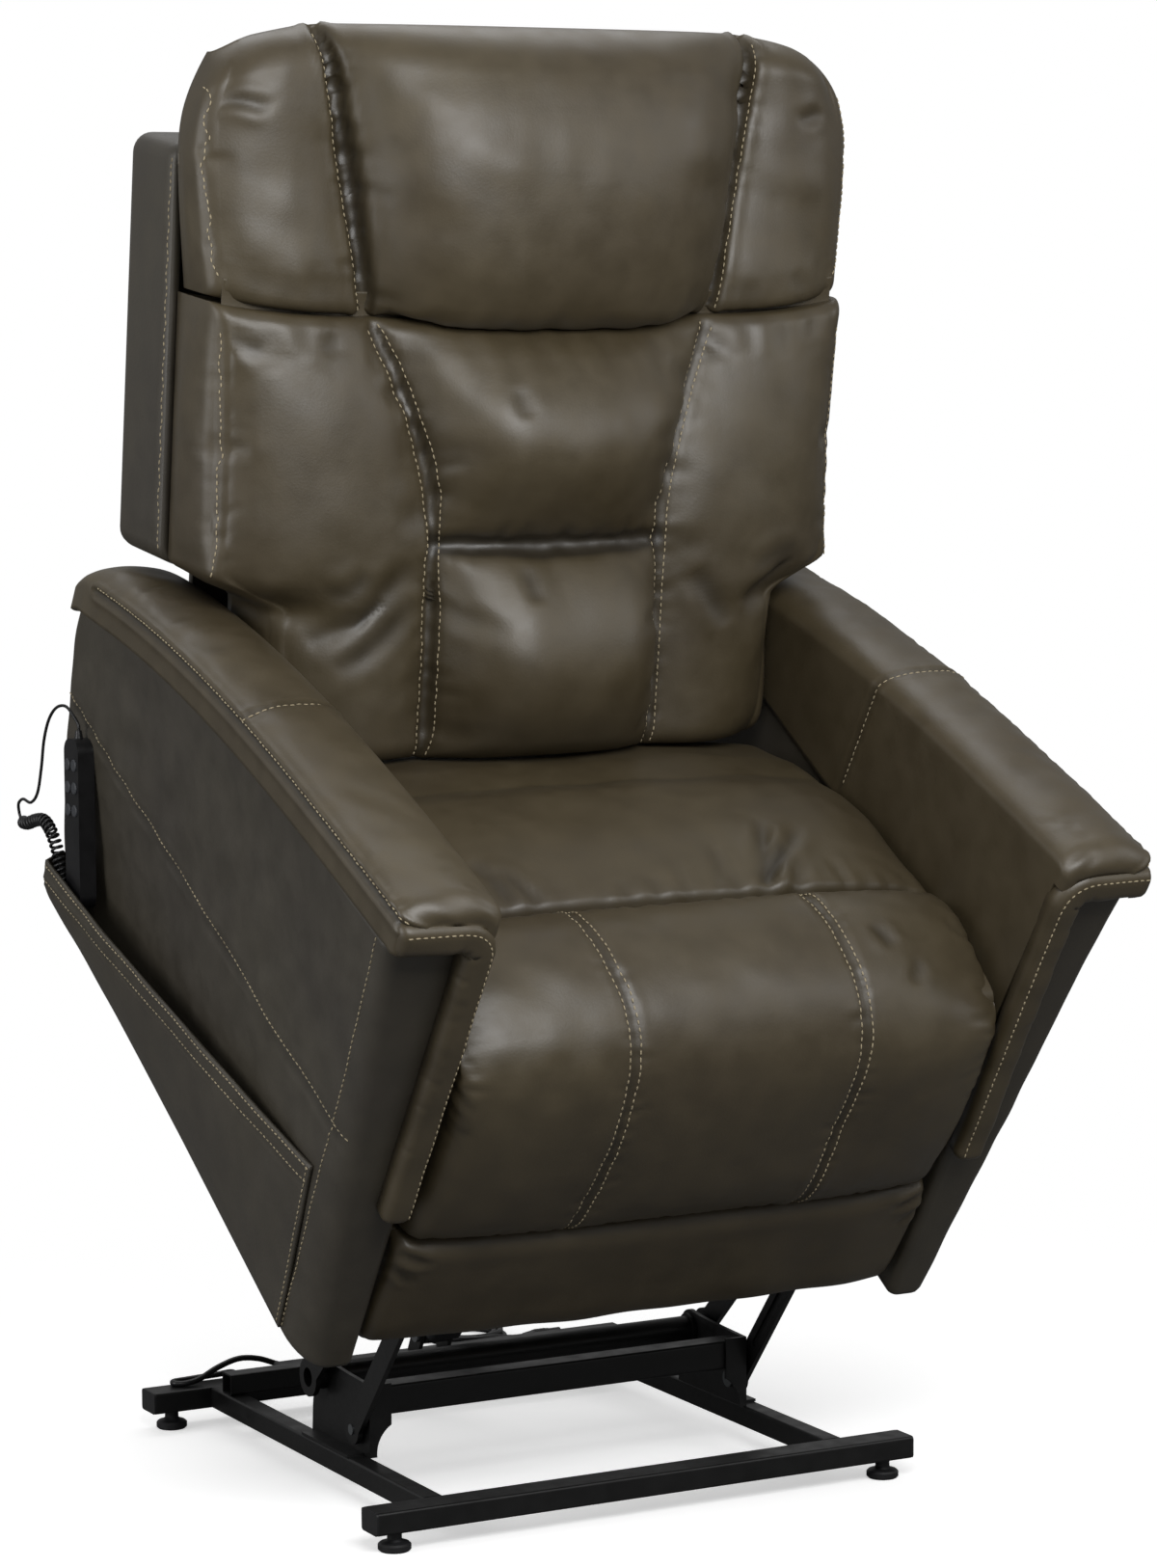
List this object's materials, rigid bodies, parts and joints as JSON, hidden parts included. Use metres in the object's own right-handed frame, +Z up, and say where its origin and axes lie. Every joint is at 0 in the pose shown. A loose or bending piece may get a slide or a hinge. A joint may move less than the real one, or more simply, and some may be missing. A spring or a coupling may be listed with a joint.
{
  "type": "power lift recliner chair",
  "caption": "Leather lift recliner in its stand-assist position: padded arms, winged back, pillow headrest, chaise footrest, side pocket with handset, on a steel lift base.",
  "frame": {"origin": "on the floor, under the middle of the raised chair without its leads", "axes": "+Z up, the chair faces -Y, +X towards the sitter's left arm"},
  "size_m": [0.89, 1.2059, 1.6162],
  "materials": {
    "frame_paint": "satin black powder coat",
    "cap_plastic": "matt moulded black",
    "zinc_steel": "zinc plated",
    "motor_housing": "fine textured black",
    "rod_chrome": "polished",
    "timber": "raw birch plywood",
    "leather_skin": "semi-gloss, fine grain",
    "leather_over_foam": "semi-gloss leather cover over foam",
    "handset_plastic": "satin moulded black",
    "button_plastic": "soft-touch grey",
    "lead_jacket": "satin black"
  },
  "bodies": {
    "base": {"front_rail": "frame_paint", "rear_rail": "frame_paint", "side_rails": "frame_paint", "rail_end_caps": "cap_plastic", "levelling_feet": "cap_plastic", "foot_studs": "zinc_steel", "riser_brackets": "frame_paint", "front_cross_tube": "frame_paint", "motor_cross_tube": "frame_paint", "base_pivot_pins": "zinc_steel", "junction_box": "cap_plastic", "power_lead": "lead_jacket", "power_lead_coil": "lead_jacket", "power_connector": "handset_plastic"},
    "upper_links": {"upper_lift_links": "frame_paint", "lift_torque_tube": "frame_paint"},
    "lower_links": {"lower_lift_links": "frame_paint"},
    "lift_motor_housing": {"lift_motor": "motor_housing"},
    "lift_motor_rod_body": {"lift_motor_rod": "rod_chrome"},
    "chair": {"mechanism_plates": "frame_paint", "chair_pivot_pins": "zinc_steel", "seat_cross_tubes": "frame_paint", "seat_frame": "timber", "seat_springs": "zinc_steel", "arm_mounts": "frame_paint", "arm_frames": "timber", "arm_shell_right": "leather_skin", "arm_shell_left": "leather_skin", "arm_pad_right": "leather_over_foam", "arm_pad_left": "leather_over_foam", "arm_front_trims": "leather_skin", "side_pocket": "leather_skin", "seat_cushion": "leather_over_foam", "chaise_roll": "leather_over_foam", "rear_skirt": "leather_skin", "footrest_ears": "frame_paint", "handset": "handset_plastic", "handset_lead": "lead_jacket", "handset_curls": "lead_jacket"},
    "footrest": {"footrest_board": "timber", "footrest_brackets": "frame_paint", "footrest_pad": "leather_over_foam", "footrest_band": "leather_over_foam"},
    "footrest_motor_housing": {"footrest_motor": "motor_housing"},
    "footrest_motor_rod_body": {"footrest_motor_rod": "rod_chrome"},
    "backrest": {"back_frame": "timber", "back_brackets": "frame_paint", "outer_back_shell": "leather_skin", "back_cushion": "leather_over_foam", "headrest_hinges": "frame_paint"},
    "backrest_motor_housing": {"backrest_motor": "motor_housing"},
    "backrest_motor_rod_body": {"backrest_motor_rod": "rod_chrome"},
    "headrest": {"headrest_plate": "timber", "headrest_cushion": "leather_over_foam"},
    "button_raise_body": {"button_raise": "button_plastic"},
    "button_lower_body": {"button_lower": "button_plastic"},
    "button_recline_body": {"button_recline": "button_plastic"},
    "button_upright_body": {"button_upright": "button_plastic"},
    "button_head_forward_body": {"button_head_forward": "button_plastic"},
    "button_head_back_body": {"button_head_back": "button_plastic"}
  },
  "joints": [
    {"name": "lift", "type": "hinge", "parent": "base", "child": "upper_links", "pos_m": [0, 0.125, 0.115], "axis": [1, 0, 0], "range_deg": [0, 48.49]},
    {"name": "chair_on_upper_links", "type": "hinge", "parent": "upper_links", "child": "chair", "pos_m": [0, -0.08593, 0.30958], "axis": [1, 0, 0], "range_deg": [-81.09, 0]},
    {"name": "lower_links_pivot", "type": "hinge", "parent": "base", "child": "lower_links", "pos_m": [0, 0.03, 0.075], "axis": [1, 0, 0], "range_deg": [0, 50.42]},
    {"name": "lift_motor_pivot", "type": "hinge", "parent": "base", "child": "lift_motor_housing", "pos_m": [0, 0.33, 0.096], "axis": [1, 0, 0], "range_deg": [0, 28.16]},
    {"name": "lift_motor_stroke", "type": "slide", "parent": "lift_motor_housing", "child": "lift_motor_rod_body", "axis": [0, -0.7285, 0.685], "range_m": [-0.1346, 0]},
    {"name": "footrest", "type": "hinge", "parent": "chair", "child": "footrest", "pos_m": [0, -0.37353, 0.56366], "axis": [1, 0, 0], "range_deg": [-85, 0], "deforming": ["chaise_roll"]},
    {"name": "footrest_motor_pivot", "type": "hinge", "parent": "chair", "child": "footrest_motor_housing", "pos_m": [0.085, 0.14938, 0.63693], "axis": [1, 0, 0], "range_deg": [0, 5.8]},
    {"name": "footrest_motor_stroke", "type": "slide", "parent": "footrest_motor_housing", "child": "footrest_motor_rod_body", "axis": [0, -0.978, -0.2087], "range_m": [0, 0.1232]},
    {"name": "backrest", "type": "hinge", "parent": "chair", "child": "backrest", "pos_m": [0, 0.25758, 0.78328], "axis": [1, 0, 0], "range_deg": [-38, 0]},
    {"name": "backrest_motor_pivot", "type": "hinge", "parent": "chair", "child": "backrest_motor_housing", "pos_m": [-0.085, 0.00817, 0.50508], "axis": [1, 0, 0], "range_deg": [0, 0.56]},
    {"name": "backrest_motor_stroke", "type": "slide", "parent": "backrest_motor_housing", "child": "backrest_motor_rod_body", "axis": [0, 0.551, 0.8345], "range_m": [0, 0.03906]},
    {"name": "headrest", "type": "hinge", "parent": "backrest", "child": "headrest", "pos_m": [0, 0.05689, 1.30313], "axis": [1, 0, 0], "range_deg": [0, 20]},
    {"name": "button_raise_press", "type": "slide", "parent": "chair", "child": "button_raise_body", "axis": [1, 0, 0], "range_m": [0, 0.0012], "stiffness_N_per_m": 400, "springref_m": -0.0006},
    {"name": "button_lower_press", "type": "slide", "parent": "chair", "child": "button_lower_body", "axis": [1, 0, 0], "range_m": [0, 0.0012], "stiffness_N_per_m": 400, "springref_m": -0.0006},
    {"name": "button_recline_press", "type": "slide", "parent": "chair", "child": "button_recline_body", "axis": [1, 0, 0], "range_m": [0, 0.0012], "stiffness_N_per_m": 400, "springref_m": -0.0006},
    {"name": "button_upright_press", "type": "slide", "parent": "chair", "child": "button_upright_body", "axis": [1, 0, 0], "range_m": [0, 0.0012], "stiffness_N_per_m": 400, "springref_m": -0.0006},
    {"name": "button_head_forward_press", "type": "slide", "parent": "chair", "child": "button_head_forward_body", "axis": [1, 0, 0], "range_m": [0, 0.0012], "stiffness_N_per_m": 400, "springref_m": -0.0006},
    {"name": "button_head_back_press", "type": "slide", "parent": "chair", "child": "button_head_back_body", "axis": [1, 0, 0], "range_m": [0, 0.0012], "stiffness_N_per_m": 400, "springref_m": -0.0006}
  ],
  "couplings": [
    {"joint": "chair_on_upper_links", "follows": "lift", "ratio": -1.6723},
    {"joint": "lower_links_pivot", "follows": "lift", "ratio": 1.0396},
    {"joint": "lift_motor_pivot", "follows": "lift", "ratio": 0.58059},
    {"joint": "lift_motor_stroke", "follows": "lift", "m_per_rad": -0.15903},
    {"joint": "footrest_motor_pivot", "follows": "footrest", "ratio": -0.068141},
    {"joint": "footrest_motor_stroke", "follows": "footrest", "m_per_rad": -0.083032},
    {"joint": "backrest_motor_pivot", "follows": "backrest", "ratio": -0.0145},
    {"joint": "backrest_motor_stroke", "follows": "backrest", "m_per_rad": -0.058879}
  ]
}
